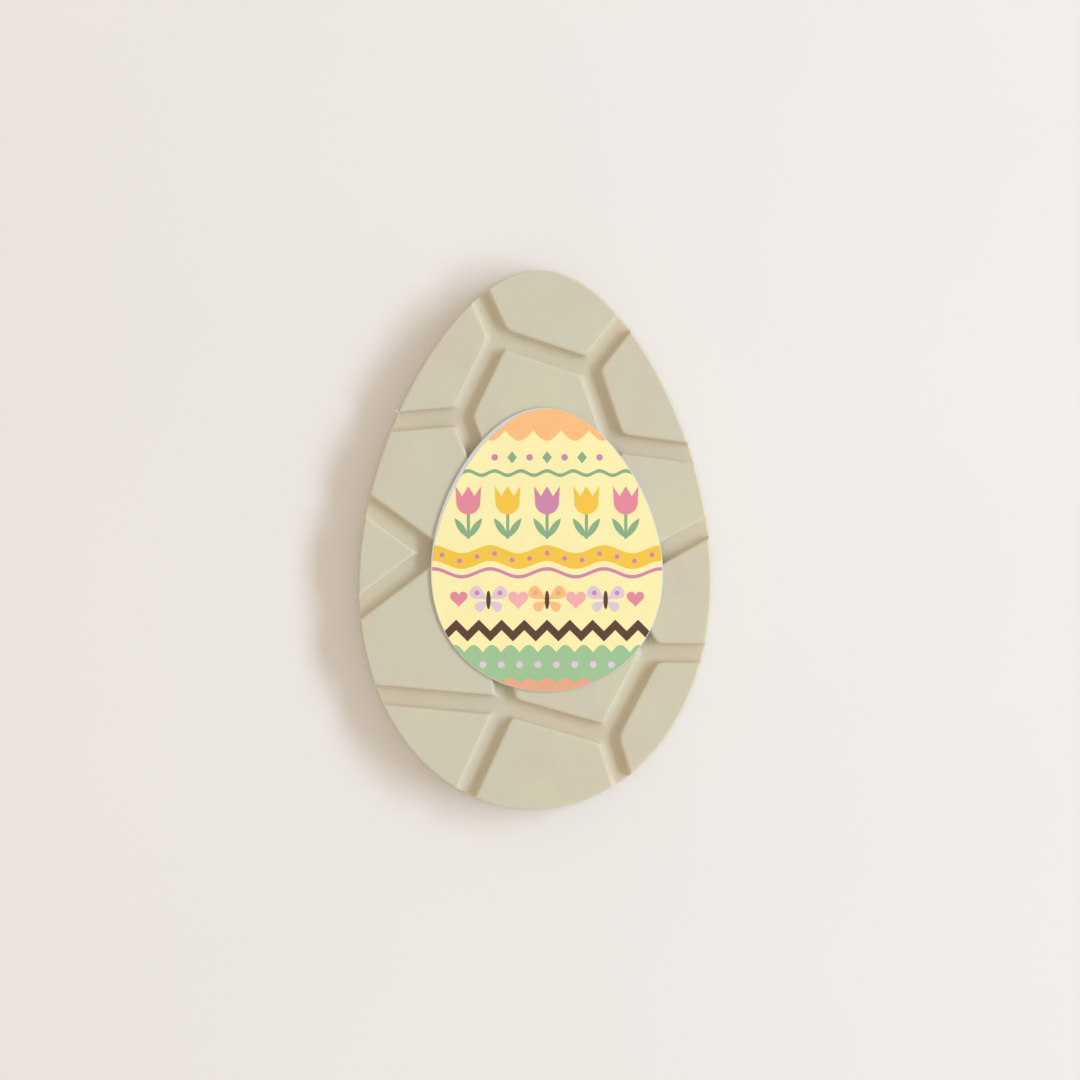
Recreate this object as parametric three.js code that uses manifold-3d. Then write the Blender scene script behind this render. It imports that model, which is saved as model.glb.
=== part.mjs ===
// A chocolate egg of the flat kind: an egg-shaped tablet of white chocolate whose face is
// split by grooves like a cracked shell, with a thin printed plaque stuck on it.
//
// Millimetres, +Z up. The tablet lies on its flat back at z = 0, face up, its middle on the
// Z axis and its narrow end towards +Y.

import * as THREE from 'three';
import { mergeVertices } from 'three/addons/utils/BufferGeometryUtils.js';
import Module from 'manifold-3d';

const wasm = await Module();
wasm.setup();

// ---- Driving dimensions (mm) ----

// An egg outline: half its width and length, how much it narrows towards +Y (taper), and how
// much its sides are pulled in near both ends (pinch).
const TABLET_EGG = { halfWidth: 40.5, halfLength: 62.5, taper: 0.178, pinch: 0.035 };
const PLAQUE_EGG = { halfWidth: 26.2, halfLength: 32.5, taper: 0.175, pinch: 0.011 };

const TABLET_THICKNESS = 9;
const TABLET_EDGE_ROUND = 0.4;
const TABLET_BACK_CHAMFER = 0.4;
const WALL_DRAFT = 0.09; // mm in for each mm up, so that the tablet leaves its mould
const TABLET_SIDES = 120;

const PLAQUE_THICKNESS = 0.6;
const PLAQUE_EDGE_ROUND = 0.15;
const PLAQUE_SIDES = 96;
const PLAQUE_CENTRE = [2.4, -2.2];
const PLAQUE_TURN = THREE.MathUtils.degToRad(2.75);

// A groove's section: a shallow dished floor, a round foot, a steep wall and a rounded lip.
const GROOVE_DEPTH = 2.05;
const GROOVE_HALF_WIDTH = 2.94;
const GROOVE_LIP_ROUND = 0.82;
const GROOVE_FOOT_ROUND = 1;
const GROOVE_WALL_FOOT = 2.1; // from the middle to where the wall would meet a flat floor
const GROOVE_DISH = 0.12;
const CURVE_STEPS = 4;
const FORK_SIDES = 32;

const CLEAR = 1; // how far a cutter stands out of the face that it cuts
const OVERRUN = 6; // how far a groove is cut past the rim

// Where the cracks meet, x and y. The four inner forks lie under the plaque.
const FORKS = {
  tipLeft: [-9.3, 46.2],
  tipRight: [11.4, 39.7],
  shoulderLeft: [-17.6, 28.0],
  shoulderRight: [17.6, 22.6],
  waistLeft: [-23.5, -3.3],
  hipRight: [26.9, -25.3],
  baseRight: [17.4, -44.4],
  baseLeft: [-6.0, -38.2],
  innerTopLeft: [-7.6, 4.9],
  innerTopRight: [9.4, 3.5],
  innerRight: [17.3, -9.3],
  innerLeft: [-11.1, -5.4],
};

const CRACKS = [
  ['tipLeft', 'tipRight'],
  ['tipLeft', 'shoulderLeft'],
  ['tipRight', 'shoulderRight'],
  ['hipRight', 'baseRight'],
  ['baseRight', 'baseLeft'],
  ['shoulderLeft', 'innerTopLeft'],
  ['shoulderRight', 'innerTopRight'],
  ['waistLeft', 'innerLeft'],
  ['baseLeft', 'innerLeft'],
  ['hipRight', 'innerRight'],
  ['innerTopLeft', 'innerTopRight'],
  ['innerTopRight', 'innerRight'],
  ['innerTopLeft', 'innerLeft'],
];

// Cracks that run off the rim: the fork that each starts from and where it meets the rim.
const RIM_CRACKS = [
  ['tipLeft', [-14.4, 56.8]],
  ['tipRight', [19.1, 49.8]],
  ['shoulderLeft', [-35.1, 26.2]],
  ['shoulderRight', [38.3, 20.2]],
  ['waistLeft', [-41.9, 9.5]],
  ['waistLeft', [-41.5, -17.5]],
  ['innerRight', [42.5, 5.6]],
  ['hipRight', [42.2, -25.1]],
  ['baseRight', [22.1, -58.5]],
  ['baseLeft', [-37.2, -36.0]],
  ['baseLeft', [-15.8, -60.6]],
];

// ---- Closed solids ----

// Joins a geometry's shared corners and drops the triangles that shrink to nothing.
function weld(geometry) {
  const bare = geometry.clone();
  bare.deleteAttribute('normal');
  bare.deleteAttribute('uv');
  const merged = mergeVertices(bare, 1e-4);
  const corners = merged.index.array;
  const kept = [];
  for (let i = 0; i < corners.length; i += 3) {
    const [a, b, c] = corners.slice(i, i + 3);
    if (a !== b && b !== c && c !== a) kept.push(a, b, c);
  }
  merged.setIndex(kept);
  return merged;
}

function toSolid(geometry) {
  const welded = weld(geometry);
  return new wasm.Manifold(new wasm.Mesh({
    numProp: 3,
    vertProperties: new Float32Array(welded.attributes.position.array),
    triVerts: new Uint32Array(welded.index.array),
  }));
}

function toGeometry(solid) {
  const { vertProperties, triVerts } = solid.getMesh();
  const geometry = new THREE.BufferGeometry();
  geometry.setAttribute('position', new THREE.BufferAttribute(vertProperties, 3));
  geometry.setIndex(new THREE.BufferAttribute(triVerts, 1));
  return geometry;
}

// ---- Egg outlines ----

// The outline's point at angle t, moved inwards at right angles to it. An ellipse whose width
// is multiplied by 1 - taper * sin t - pinch * sin^2 t.
function eggPoint({ halfWidth, halfLength, taper, pinch }, t, inset) {
  const sin = Math.sin(t);
  const cos = Math.cos(t);
  const width = 1 - taper * sin - pinch * sin * sin;
  const widthSlope = -cos * (taper + 2 * pinch * sin);
  const along = new THREE.Vector2(
    halfWidth * (cos * widthSlope - sin * width),
    halfLength * cos,
  ).normalize();
  return new THREE.Vector2(
    halfWidth * cos * width - along.y * inset,
    halfLength * sin + along.x * inset,
  );
}

// A solid with an egg's outline. Each level is [inset, height], from the underside up; the
// first and the last are closed by flat faces. It is a lathe's turned stack of circles, each
// corner of which is then moved to the egg's outline at the same angle.
function eggGeometry(egg, levels, sides) {
  const profile = levels.map(([inset, z]) => new THREE.Vector2(egg.halfWidth - inset, z));
  const bottom = new THREE.Vector2(0, levels[0][1]);
  const top = new THREE.Vector2(0, levels[levels.length - 1][1]);
  const geometry = new THREE.LatheGeometry([bottom, ...profile, top], sides);
  geometry.rotateX(Math.PI / 2);
  const corners = geometry.attributes.position;
  for (let i = 0; i < corners.count; i += 1) {
    const radius = Math.hypot(corners.getX(i), corners.getY(i));
    if (radius > 1e-6) {
      const t = Math.atan2(corners.getY(i), corners.getX(i));
      const point = eggPoint(egg, t, egg.halfWidth - radius);
      corners.setXY(i, point.x, point.y);
    }
  }
  return geometry;
}

// The levels of a quarter-round top edge, on a wall that stands `wallInset` in.
function roundEdge(wallInset, height, radius) {
  return Array.from({ length: CURVE_STEPS + 1 }, (_, i) => {
    const angle = (i / CURVE_STEPS) * (Math.PI / 2);
    return [
      wallInset + radius * (1 - Math.cos(angle)),
      height - radius + radius * Math.sin(angle),
    ];
  });
}

// ---- Grooves ----

// Half of the groove's section, from the middle of its floor to its lip: x is across, y is up
// from the face.
function grooveHalfSection() {
  const foot = new THREE.Vector2(GROOVE_WALL_FOOT, -GROOVE_DEPTH);
  const lip = new THREE.Vector2(GROOVE_HALF_WIDTH - GROOVE_LIP_ROUND, 0);
  const wall = new THREE.Vector2().subVectors(lip, foot).normalize();
  const path = new THREE.Path();
  path.moveTo(0, -GROOVE_DEPTH - GROOVE_DISH);
  path.lineTo(foot.x - GROOVE_FOOT_ROUND, -GROOVE_DEPTH - GROOVE_DISH / 2);
  path.quadraticCurveTo(
    foot.x, foot.y,
    foot.x + wall.x * GROOVE_FOOT_ROUND, foot.y + wall.y * GROOVE_FOOT_ROUND,
  );
  path.lineTo(lip.x - wall.x * GROOVE_LIP_ROUND, lip.y - wall.y * GROOVE_LIP_ROUND);
  path.quadraticCurveTo(lip.x, lip.y, GROOVE_HALF_WIDTH, 0);
  path.lineTo(GROOVE_HALF_WIDTH, CLEAR);
  return path.getPoints(CURVE_STEPS);
}

// The bar that cuts one straight groove, from one point of the face to another.
function grooveBar(start, end) {
  const half = grooveHalfSection();
  const mirrored = half.slice(1).reverse().map(({ x, y }) => new THREE.Vector2(-x, y));
  const way = new THREE.Vector2().subVectors(end, start);
  const bar = new THREE.ExtrudeGeometry(new THREE.Shape([...mirrored, ...half]), {
    depth: way.length(),
    bevelEnabled: false,
  });
  bar.rotateX(Math.PI / 2);
  bar.rotateZ(way.angle() + Math.PI / 2);
  bar.translate(start.x, start.y, TABLET_THICKNESS);
  return toSolid(bar);
}

// The round cutter that fills the corner where bars meet at a fork.
function forkCutter(centre) {
  const profile = [...grooveHalfSection(), new THREE.Vector2(0, CLEAR)];
  const turned = new THREE.LatheGeometry(profile, FORK_SIDES);
  turned.rotateX(Math.PI / 2);
  turned.translate(centre.x, centre.y, TABLET_THICKNESS);
  return toSolid(turned);
}

// All the grooves as one cutting solid.
function crackedShellCutter() {
  const forks = Object.fromEntries(
    Object.entries(FORKS).map(([name, [x, y]]) => [name, new THREE.Vector2(x, y)]),
  );
  const inner = CRACKS.map(([from, to]) => grooveBar(forks[from], forks[to]));
  const outer = RIM_CRACKS.map(([from, [x, y]]) => {
    const rim = new THREE.Vector2(x, y);
    const overrun = new THREE.Vector2().subVectors(rim, forks[from]).setLength(OVERRUN);
    return grooveBar(forks[from], rim.add(overrun));
  });
  const rounds = Object.values(forks).map(forkCutter);
  return [...inner, ...outer, ...rounds].reduce((all, cutter) => all.add(cutter));
}

// ---- The pieces ----

function makeTablet() {
  const straight = TABLET_THICKNESS - TABLET_EDGE_ROUND - TABLET_BACK_CHAMFER;
  const levels = [
    [TABLET_BACK_CHAMFER, 0],
    [0, TABLET_BACK_CHAMFER],
    ...roundEdge(straight * WALL_DRAFT, TABLET_THICKNESS, TABLET_EDGE_ROUND),
  ];
  const blank = toSolid(eggGeometry(TABLET_EGG, levels, TABLET_SIDES));
  const chocolate = new THREE.MeshStandardMaterial({
    color: 0xd6d0b8,
    roughness: 0.42,
    metalness: 0,
  });
  const tablet = new THREE.Mesh(toGeometry(blank.subtract(crackedShellCutter())), chocolate);
  tablet.name = 'egg_tablet';
  return tablet;
}

function makePlaque() {
  const levels = [
    [0, 0],
    ...roundEdge(0, PLAQUE_THICKNESS, PLAQUE_EDGE_ROUND),
  ];
  const printed = new THREE.MeshStandardMaterial({
    color: 0xfcf0b0,
    roughness: 0.55,
    metalness: 0,
  });
  const plaque = new THREE.Mesh(weld(eggGeometry(PLAQUE_EGG, levels, PLAQUE_SIDES)), printed);
  plaque.name = 'printed_plaque';
  plaque.position.set(...PLAQUE_CENTRE, TABLET_THICKNESS);
  plaque.rotation.z = PLAQUE_TURN;
  return plaque;
}

const chocolateEgg = new THREE.Group();
chocolateEgg.name = 'chocolate_egg';
chocolateEgg.add(makeTablet(), makePlaque());

export default chocolateEgg;
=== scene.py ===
"""A flat egg of white chocolate: a moulded tablet whose face is split by grooves like a cracked
shell, and a thin plaque of white icing on it, printed in food colours with a banded pattern.

Metres, +Z up. The tablet lies on its back at z = 0, face up, its narrow end towards +Y.
"""

import math

import bmesh
import bpy
import numpy as np
from bpy.props import FloatProperty, FloatVectorProperty, IntProperty, PointerProperty
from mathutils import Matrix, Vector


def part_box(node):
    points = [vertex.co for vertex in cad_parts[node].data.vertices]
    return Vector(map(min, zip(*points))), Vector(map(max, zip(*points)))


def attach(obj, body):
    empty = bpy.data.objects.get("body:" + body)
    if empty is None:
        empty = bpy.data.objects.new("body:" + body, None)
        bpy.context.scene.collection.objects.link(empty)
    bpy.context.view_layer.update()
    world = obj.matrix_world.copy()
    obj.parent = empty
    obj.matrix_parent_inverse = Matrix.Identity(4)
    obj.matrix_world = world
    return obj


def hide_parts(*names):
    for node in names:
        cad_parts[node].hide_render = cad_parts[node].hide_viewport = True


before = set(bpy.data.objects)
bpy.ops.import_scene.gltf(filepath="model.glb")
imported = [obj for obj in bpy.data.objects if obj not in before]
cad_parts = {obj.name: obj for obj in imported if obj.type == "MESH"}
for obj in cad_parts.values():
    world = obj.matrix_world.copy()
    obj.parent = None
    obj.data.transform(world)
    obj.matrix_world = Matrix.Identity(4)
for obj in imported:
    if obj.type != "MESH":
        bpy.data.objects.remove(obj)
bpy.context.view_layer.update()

bl_info = {
    "name": "Chocolate Egg",
    "version": (1, 0, 0),
    "blender": (4, 5, 0),
    "location": "View3D > Sidebar > Chocolate Egg",
    "description": "Makes a flat white chocolate egg with a cracked face and a printed plaque",
    "category": "Add Mesh",
}

MM = 0.001
TABLET_NODE = "egg_tablet"
PLAQUE_NODE = "printed_plaque"
FACE_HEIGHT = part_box(TABLET_NODE)[1][2]
PLAQUE_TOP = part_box(PLAQUE_NODE)[1][2]
UPRIGHT = math.radians(1.15)  # the print and the view stand this far from the egg's own length

# Egg outlines: half the width, half the length, taper and pinch.
TABLET_EGG = (40.5 * MM, 62.5 * MM, 0.178, 0.035)
PLAQUE_EGG = (26.2 * MM, 32.5 * MM, 0.175, 0.011)
PRINT_EGG = (25.9 * MM, 32.3 * MM, 0.193, 0.029)
PLAQUE_CENTRE = (2.4 * MM, -2.2 * MM)
PLAQUE_TURN = math.radians(2.75)
PRINT_CENTRE = (2.61 * MM, -2.26 * MM)
CAMERA_AIM = (0.94 * MM, 0.01 * MM)
KEY_SIZE = (1.68, 0.44)
KEY_DIRECTION = (math.radians(5), math.radians(35))  # round from +X, and up
KEY_DISTANCE = 2.0
KEY_TINT = (0.68, 0.818, 1.0)
FILL_TINT = (1, 0.887, 0.771)
NEWTON_STEPS = 5

# Where the cracks meet, x and y in millimetres. The inner forks lie under the plaque.
FORKS = {
    "tip_left": (-9.3, 46.2),
    "tip_right": (11.4, 39.7),
    "shoulder_left": (-17.6, 28.0),
    "shoulder_right": (17.6, 22.6),
    "waist_left": (-23.5, -3.3),
    "hip_right": (26.9, -25.3),
    "base_right": (17.4, -44.4),
    "base_left": (-6.0, -38.2),
    "inner_top_left": (-7.6, 4.9),
    "inner_top_right": (9.4, 3.5),
    "inner_right": (17.3, -9.3),
    "inner_left": (-11.1, -5.4),
}

# Cracks that run off the rim: the fork each starts from, and a point near the rim on its line.
RIM_CRACKS = {
    "rim_tip_left": ("tip_left", (-14.4, 56.8)),
    "rim_tip_right": ("tip_right", (19.1, 49.8)),
    "rim_shoulder_left": ("shoulder_left", (-35.1, 26.2)),
    "rim_shoulder_right": ("shoulder_right", (38.3, 20.2)),
    "rim_waist_upper": ("waist_left", (-41.9, 9.5)),
    "rim_waist_lower": ("waist_left", (-41.5, -17.5)),
    "rim_side_right": ("inner_right", (42.5, 5.6)),
    "rim_hip_right": ("hip_right", (42.2, -25.1)),
    "rim_base_right": ("base_right", (22.1, -58.5)),
    "rim_base_left": ("base_left", (-37.2, -36.0)),
    "rim_foot": ("base_left", (-15.8, -60.6)),
}

# The pieces of cracked shell: the corners of each, anticlockwise as seen from above.
CELL_CORNERS = (
    "tip_left tip_right rim_tip_right rim_tip_left",
    "tip_left rim_tip_left rim_shoulder_left shoulder_left",
    "tip_right shoulder_right rim_shoulder_right rim_tip_right",
    "tip_left shoulder_left inner_top_left inner_top_right shoulder_right tip_right",
    "shoulder_left rim_shoulder_left rim_waist_upper waist_left inner_left inner_top_left",
    "waist_left rim_waist_upper rim_waist_lower",
    "inner_left waist_left rim_waist_lower rim_base_left base_left",
    "base_left rim_base_left rim_foot",
    "base_left rim_foot rim_base_right base_right",
    "base_right rim_base_right rim_hip_right hip_right",
    "inner_right hip_right rim_hip_right rim_side_right",
    "inner_top_right inner_right rim_side_right rim_shoulder_right shoulder_right",
    "inner_top_left inner_left base_left base_right hip_right inner_right inner_top_right",
)
CELLS = [corners.split() for corners in CELL_CORNERS]


# ---- Settings ----


def linear(red, green, blue):
    """A colour given as 0 to 255 on a screen, as the linear values that materials take."""
    screen = np.array([red, green, blue]) / 255
    return tuple(np.where(screen <= 0.04045, screen / 12.92, ((screen + 0.055) / 1.055) ** 2.4))


def number(name, description, value, **more):
    """A number from 0 up."""
    return FloatProperty(name=name, description=description, default=value, min=0, **more)


def length(name, description, value):
    """A size in metres."""
    return number(name, description, value, precision=5, unit="LENGTH", subtype="DISTANCE")


def colour(name, description, red, green, blue):
    """A colour whose default is given as 0 to 255 on a screen."""
    return FloatVectorProperty(
        name=name,
        description=description,
        default=linear(red, green, blue),
        min=0,
        max=1,
        size=3,
        subtype="COLOR",
    )


class CHOCEGG_PG_tablet(bpy.types.PropertyGroup):
    """Sizes and colours of the moulded chocolate"""

    edge_round: length("Edge round", "Radius of the face's outer edge", 0.4 * MM)
    back_chamfer: length("Back chamfer", "Bevel round the back", 0.4 * MM)
    draft: number("Wall draft", "How far the wall leans in for each metre of height", 0.09)
    groove_depth: length("Groove depth", "From the face to the groove's floor", 2.05 * MM)
    groove_half_width: length("Groove half width", "From its middle to its lip", 2.94 * MM)
    lip_round: length("Lip round", "Reach of the round at a groove's lip", 0.82 * MM)
    wall_foot: length("Wall foot", "From a groove's middle to its wall's foot", 2.1 * MM)
    foot_round: length("Foot round", "Reach of the round at a wall's foot", 1.0 * MM)
    dish: length("Floor dish", "How much deeper the middle of the floor is", 0.12 * MM)
    corner_softness: length("Corner softness", "How much the cells' corners are rounded", 0.33 * MM)
    ripple: length("Ripple", "Height of the slow waves in the moulded face", 0.02 * MM)
    ripple_length: length("Ripple length", "From one of these waves to the next", 16 * MM)
    back_ripple: length("Back ripple", "Height of the waves in the scraped back", 0.06 * MM)
    back_ripple_length: length("Back ripple length", "From wave to wave on the back", 14 * MM)
    burr: length("Burr", "Reach of the little tooth of chocolate on the left rim", 0.55 * MM)
    seed: IntProperty(name="Seed", description="Start of the random draws", default=7, min=0)
    ivory: colour("Ivory", "White chocolate", 208, 206, 185)
    ivory_warm: colour("Warm ivory", "Its warmer, rosier patches", 210, 203, 183)
    ivory_green: colour("Pale straw", "Its paler, yellower patches", 210, 209, 184)
    # Painted warm shade: this colour is mixed in low in the grooves, where their shade falls
    painted_groove_shade: colour("Painted groove shade", "What the grooves' colour leans to", 226, 165, 128)


class CHOCEGG_PG_plaque(bpy.types.PropertyGroup):
    """Size and colour of the icing"""

    edge_round: length("Edge round", "Radius of the plaque's upper edge", 0.15 * MM)
    icing: colour("Icing", "The plaque's unprinted icing", 214, 216, 216)


class CHOCEGG_PG_print(bpy.types.PropertyGroup):
    """Thickness and colours of the ink"""

    ink: length("Ink", "Thickness of one layer of food colour", 0.015 * MM)
    yellow: colour("Pale yellow", "The ground", 252, 242, 177)
    orange: colour("Orange", "Crown and flowers", 252, 191, 127)
    peach: colour("Peach", "Small motifs", 233, 171, 136)
    green: colour("Leaf green", "Stems, leaves and lines", 135, 176, 133)
    light_green: colour("Light green", "The base", 157, 198, 148)
    mustard: colour("Mustard", "The ribbon and flowers", 245, 199, 61)
    mauve: colour("Mauve", "Flowers and lines", 207, 134, 172)
    pink: colour("Pink", "Hearts", 244, 176, 177)
    rose: colour("Rose", "Hearts and flowers", 229, 138, 157)
    lilac: colour("Lilac", "Wings and dots", 224, 203, 219)
    brown: colour("Brown", "The zigzag and small bodies", 87, 54, 35)


class CHOCEGG_PG_stage(bpy.types.PropertyGroup):
    """Floor, light and view"""

    frame_width: length("Frame width", "How much of the face's plane the view takes in", 247.2 * MM)
    camera_height: length("Camera height", "From the face up to the camera", 600 * MM)
    floor: colour("Floor", "The plain pale floor", 236, 234, 230)
    key_power: number("Key light", "Power of the large light on the right", 30.1, unit="POWER")
    fill: number("Fill", "Strength of the even light", 0.758)


class CHOCEGG_PG_settings(bpy.types.PropertyGroup):
    """All the settings, kept on the scene"""

    tablet: PointerProperty(type=CHOCEGG_PG_tablet)
    plaque: PointerProperty(type=CHOCEGG_PG_plaque)
    inks: PointerProperty(type=CHOCEGG_PG_print)
    stage: PointerProperty(type=CHOCEGG_PG_stage)


# ---- Outlines ----


def turns(count):
    """Angles that divide a whole turn into count even steps."""
    return np.linspace(0, 2 * np.pi, count + 1)[:-1]


def egg_frame(egg, t):
    """Points and unit tangents of an egg outline at angles t: an ellipse whose width is
    multiplied by 1 - taper sin t - pinch sin^2 t. Anticlockwise as t grows."""
    half_width, half_length, taper, pinch = egg
    sin, cos = np.sin(t), np.cos(t)
    width = 1 - taper * sin - pinch * sin**2
    slope = -cos * (taper + 2 * pinch * sin)
    points = np.stack([half_width * cos * width, half_length * sin], axis=-1)
    along = np.stack([half_width * (cos * slope - sin * width), half_length * cos], axis=-1)
    return points, along / np.linalg.norm(along, axis=-1, keepdims=True)


def left_of(along):
    """Directions turned a quarter turn anticlockwise: inwards, for an anticlockwise outline."""
    return np.stack([-along[..., 1], along[..., 0]], axis=-1)


def placed(points, centre, turn):
    """Points in the plane turned about the origin, then moved to centre."""
    cos, sin = math.cos(turn), math.sin(turn)
    return points @ np.array([[cos, sin], [-sin, cos]]) + np.asarray(centre)


def rim_distance(egg, points):
    """How far each point lies inside the outline: Newton's method walks an angle to the foot of
    the perpendicular from the point."""
    half_width, half_length = egg[:2]
    t = np.arctan2(points[..., 1] / half_length, points[..., 0] / half_width)
    for _ in range(NEWTON_STEPS):
        foot, along = egg_frame(egg, t)
        speed = np.hypot(half_width * np.sin(t), half_length * np.cos(t))
        t = t + ((points - foot) * along).sum(axis=-1) / speed
    foot, along = egg_frame(egg, t)
    return ((points - foot) * left_of(along)).sum(axis=-1)


def rim_crossing(egg, start, through):
    """The angle at which the line from start through another point leaves the egg: ahead of
    start, the outline's distance from that line changes sign there."""
    t = np.linspace(-np.pi, np.pi, 7201)
    points = egg_frame(egg, t)[0] - start
    way = (through - start) / np.linalg.norm(through - start)
    side = points[:, 0] * way[1] - points[:, 1] * way[0]
    crosses = (points @ way > 0)[:-1] & (np.sign(side[:-1]) != np.sign(side[1:]))
    i = np.flatnonzero(crosses)[0]
    return t[i] + (t[i + 1] - t[i]) * side[i] / (side[i] - side[i + 1])


def segment_offsets(points, starts, ends):
    """From every straight segment's nearest place, its ends included, to every point: a table
    of points by segments by 2."""
    way = ends - starts
    offset = points[:, None, :] - starts
    share = np.clip((offset * way).sum(axis=-1) / (way**2).sum(axis=-1), 0, 1)
    return offset - share[..., None] * way


def arc_lengths(points):
    """How far each point of a line lies along it."""
    steps = np.linalg.norm(np.diff(points, axis=0), axis=1)
    return np.concatenate([[0], np.cumsum(steps)])


def bezier(start, middle, end, count):
    """Points of a quadratic curve."""
    s = np.linspace(0, 1, count)[:, None]
    return (1 - s) ** 2 * start + 2 * s * (1 - s) * middle + s**2 * end


def spread(span, fine, coarse, reach):
    """Shares from 0 up to but without 1 along a side of length span: steps of about fine at
    both ends, growing to coarse over the first reach. The same from either end. They are even
    steps of a running count of columns, the integral of one over the step."""
    intervals, fewest = 800, 6
    share = np.linspace(0, 1, intervals + 1)
    end_distance = np.minimum(share, 1 - share) * span
    step = fine + (coarse - fine) * np.minimum(1, end_distance / reach)
    density = 1 / step
    count = np.concatenate([[0], np.cumsum((density[1:] + density[:-1]) / 2)])
    columns = max(fewest, int(round(count[-1] * span / intervals)))
    return np.interp(np.linspace(0, 1, columns + 1)[:-1], count / count[-1], share)


def ripples(points, height, wavelength, rng):
    """Slow random waves over the plane: the sum of nine plane waves with random directions,
    lengths near wavelength and random starts, scaled to about +-height."""
    waves = 9
    angle = rng.uniform(0, 2 * np.pi, waves)
    number = 2 * np.pi / (wavelength * rng.uniform(0.6, 1.6, waves))
    start = rng.uniform(0, 2 * np.pi, waves)
    ways = np.stack([np.cos(angle), np.sin(angle)]) * number
    return height * np.sin(points @ ways + start).sum(axis=-1) / math.sqrt(waves)


# ---- Meshes ----


def grid_faces(columns, rows):
    """The four-sided faces of a grid whose corner (c, r) is numbered c * rows + r, and whose
    last column joins its first."""
    r = np.arange(rows - 1)
    here = np.arange(columns)[:, None] * rows + r
    there = (np.arange(columns)[:, None] + 1) % columns * rows + r
    return np.stack([here, there, there + 1, here + 1], axis=-1).reshape(-1, 4)


def add_object(name, data):
    """An object linked to the scene, at the origin."""
    made = bpy.data.objects.new(name, data)
    bpy.context.scene.collection.objects.link(made)
    return made


def add_piece(name, vertices, faces, materials, node, smooth=True, indices=None):
    """A piece of the object from corner and face lists: its doubled corners are merged, it
    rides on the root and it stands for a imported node."""
    mesh = bpy.data.meshes.new(name)
    mesh.from_pydata(vertices, [], faces)
    for material in materials:
        mesh.materials.append(material)
    if indices is not None:
        mesh.polygons.foreach_set("material_index", indices)
    edit = bmesh.new()
    edit.from_mesh(mesh)
    bmesh.ops.remove_doubles(edit, verts=edit.verts, dist=0.002 * MM)
    edit.to_mesh(mesh)
    edit.free()
    mesh.polygons.foreach_set("use_smooth", np.full(len(mesh.polygons), smooth))
    piece = add_object(name, mesh)
    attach(piece, "root")
    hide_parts(node)


# ---- Tablet ----

# Rings of a cell's grid lie at these places of the rim's wall, its rounded edge and the face,
# and as many follow each crack.
WALL_RING_HEIGHTS = np.array(
    [0.4, 2.4, 4.4, 5.8, 6.4, 6.7, 6.9, 7.05, 7.2, 7.4, 7.7, 8.0, 8.3, 8.5]
) * MM
EDGE_RINGS = 9
FACE_RINGS = np.array([1.4, 1.7, 2.2, 3.0]) * MM
RINGS = len(WALL_RING_HEIGHTS) + EDGE_RINGS + len(FACE_RINGS)
OUTER_CRACK_RINGS = np.array([3.2, 4.0]) * MM
INNER_SHARES = np.array([0.1, 0.24, 0.42, 0.62, 0.82, 1.0])
COLUMN_STEPS = (0.14 * MM, 1.1 * MM, 6 * MM)
OVERRUN = 0.3  # how far a crack runs on past the rim, as a share of its length
CALM_RIM = 3 * MM  # the face's waves fade out over this distance from the rim
JOINT_POWER = 9  # the higher, the sharper the edge where a groove runs off the rim
BACK_RINGS = 16
SCRAPE = np.array([0.35, 1.6])  # how the back's waves are drawn out along x and squeezed along y
BURR_ROOT = 0.85 * MM
BURR_DROP = 0.6 * MM


def rim_profile(shape):
    """The wall and rounded edge as (inset, height) points, from the back's bevel up to the
    face: a leaning straight line, then a quarter of a circle."""
    wall_top = FACE_HEIGHT - shape.edge_round
    lean = (wall_top - shape.back_chamfer) * shape.draft
    heights = WALL_RING_HEIGHTS
    wall = np.stack([(heights - shape.back_chamfer) * shape.draft, heights], axis=-1)
    angle = np.linspace(0, np.pi / 2, EDGE_RINGS)
    inset = lean + shape.edge_round * (1 - np.cos(angle))
    edge = np.stack([inset, wall_top + shape.edge_round * np.sin(angle)], axis=-1)
    return np.concatenate([wall, edge])


def rim_rings(shape):
    """How far in from the rim each ring lies."""
    return np.concatenate([rim_profile(shape)[:, 0], FACE_RINGS])


def groove_section(shape):
    """Half of a groove's section as (distance from its middle, height) points: a dished floor, a
    curve at the wall's foot, a straight wall and a curve over the lip."""
    foot = np.array([shape.wall_foot, -shape.groove_depth])
    lip = np.array([shape.groove_half_width - shape.lip_round, 0])
    wall = (lip - foot) / np.linalg.norm(lip - foot)
    floor_edge = foot - np.array([shape.foot_round, shape.dish / 2])
    floor = [[0, -shape.groove_depth - shape.dish]]
    low = bezier(floor_edge, foot, foot + wall * shape.foot_round, 17)
    high = bezier(lip - wall * shape.lip_round, lip, np.array([shape.groove_half_width, 0]), 9)
    return np.concatenate([floor, low, high])


def crack_rings(shape):
    """How far from a crack's middle each ring lies: in even steps along the groove's section,
    and then out on the face."""
    section = groove_section(shape)
    reached = arc_lengths(section)
    even = np.linspace(0, reached[-1], RINGS - len(OUTER_CRACK_RINGS))
    return np.concatenate([np.interp(even, reached, section[:, 0]), OUTER_CRACK_RINGS])


def crack_ends():
    """The start and end of every crack, in metres, each crack once. Those on the rim run on
    past it."""
    forks = {name: np.array(place) * MM for name, place in FORKS.items()}
    pairs = set()
    for cell in CELLS:
        for here, there in zip(cell, cell[1:] + cell[:1]):
            if here in forks and there in forks:
                pairs.add(tuple(sorted((here, there))))
    starts = [forks[here] for here, _ in sorted(pairs)]
    ends = [forks[there] for _, there in sorted(pairs)]
    for fork, place in RIM_CRACKS.values():
        rim = np.array(place) * MM
        starts.append(forks[fork])
        ends.append(rim + OVERRUN * (rim - forks[fork]))
    return np.array(starts), np.array(ends)


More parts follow.
